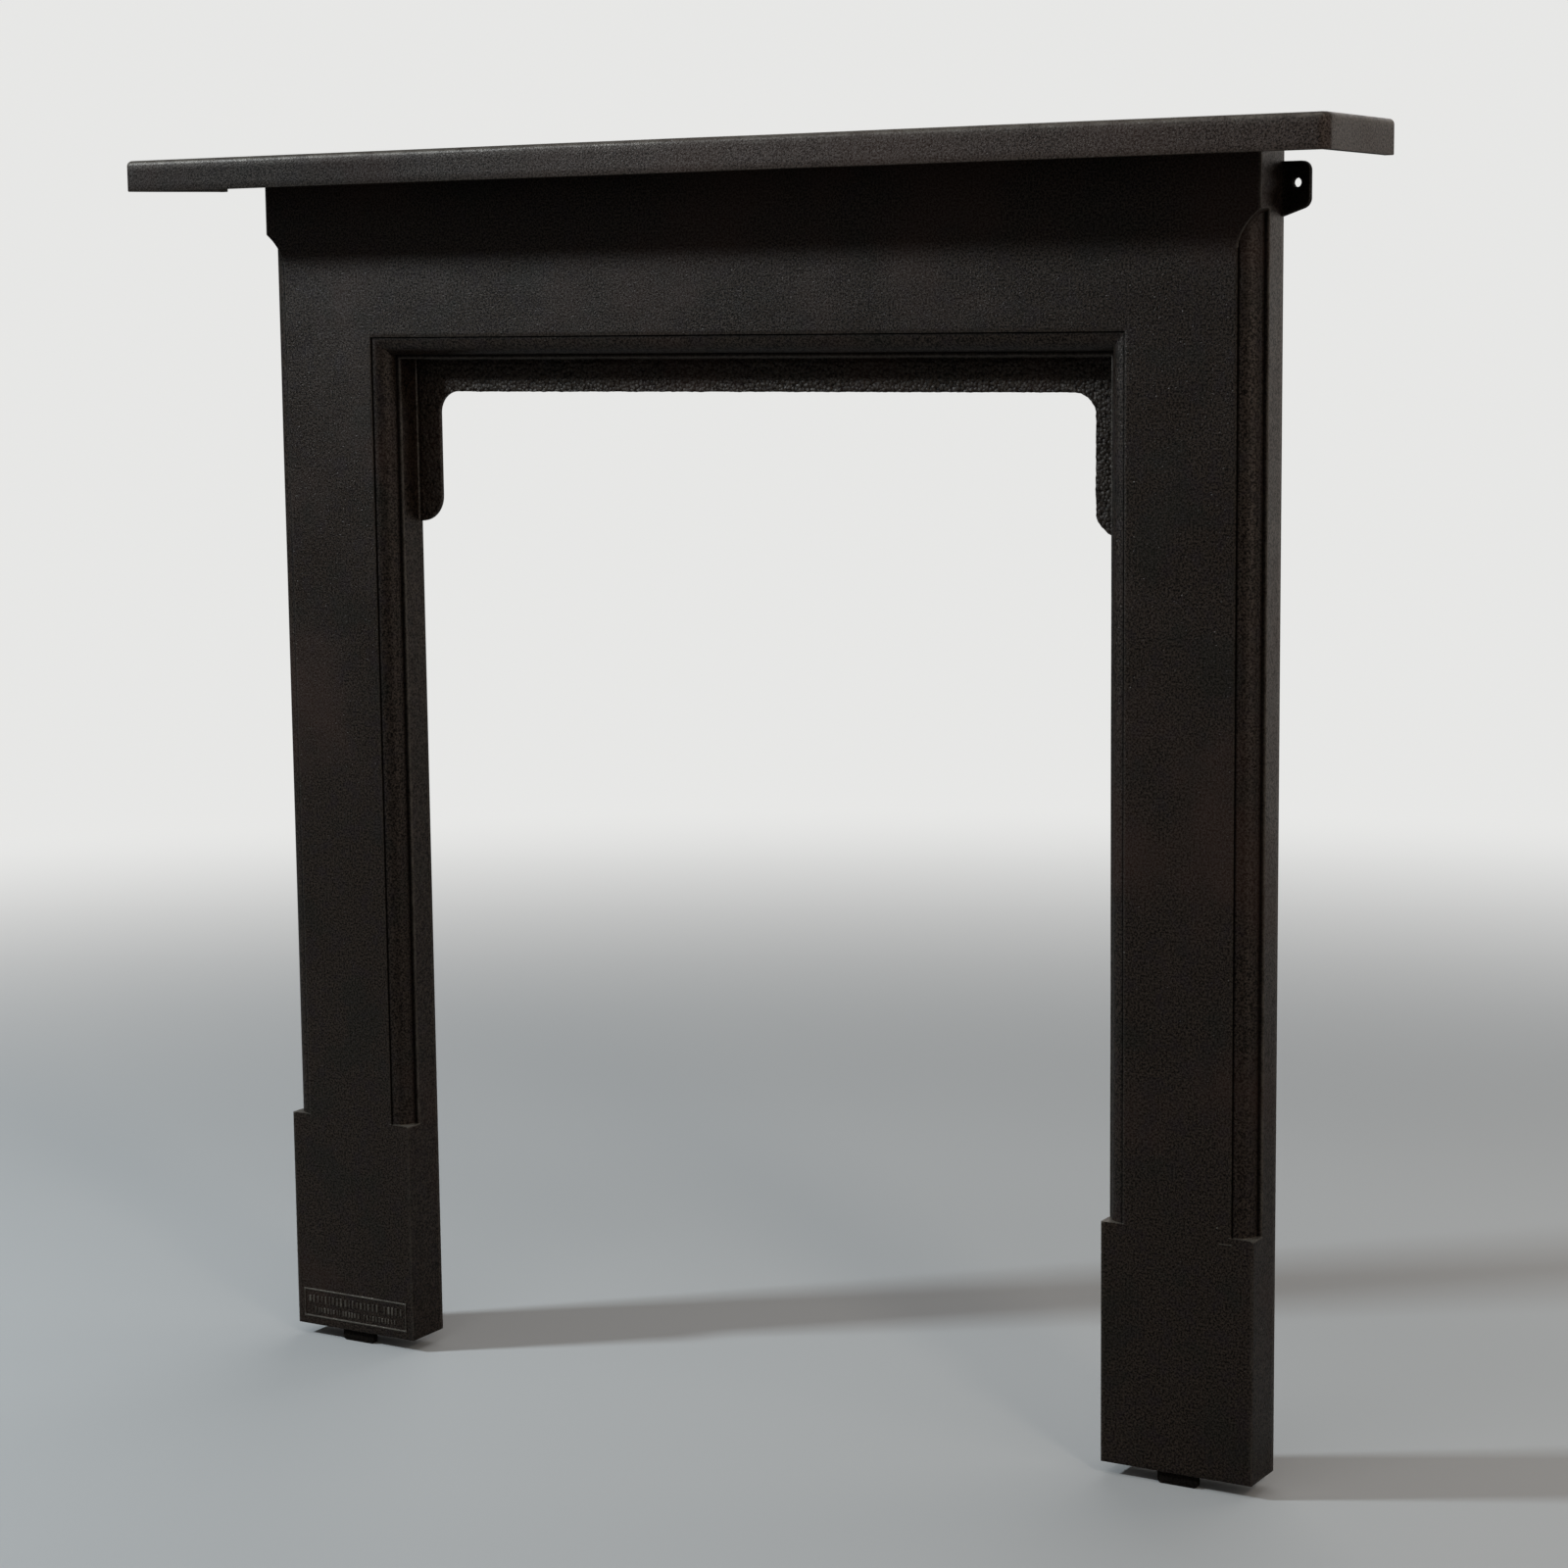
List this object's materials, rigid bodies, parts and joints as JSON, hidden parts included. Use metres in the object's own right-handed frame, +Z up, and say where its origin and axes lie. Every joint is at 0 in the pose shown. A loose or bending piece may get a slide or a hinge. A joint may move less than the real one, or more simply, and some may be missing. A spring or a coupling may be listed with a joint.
{
  "type": "fireplace surround",
  "caption": "Plain cast-iron fireplace surround with moulded edges, plinth blocks, a flanged opening and a flat mantel shelf; screws to the wall by side lugs.",
  "frame": {"origin": "on the wall plane, midway between the two wall-screw holes", "axes": "+X to the right of a person facing the fire, +Y into the wall, +Z up; the hearth is 1.140 m below the origin"},
  "size_m": [1.25, 0.146, 1.19],
  "materials": {
    "frame_iron": "graphite-blacked cast iron, fine sand grain, brighter worn arrises, rough as cast on the rear flange",
    "shelf_iron": "graphite-blacked cast iron with a rubbed, slightly shiny upper edge and faint rust tint"
  },
  "bodies": {
    "root": {"frame": "frame_iron", "shelf": "shelf_iron"}
  },
  "joints": []
}
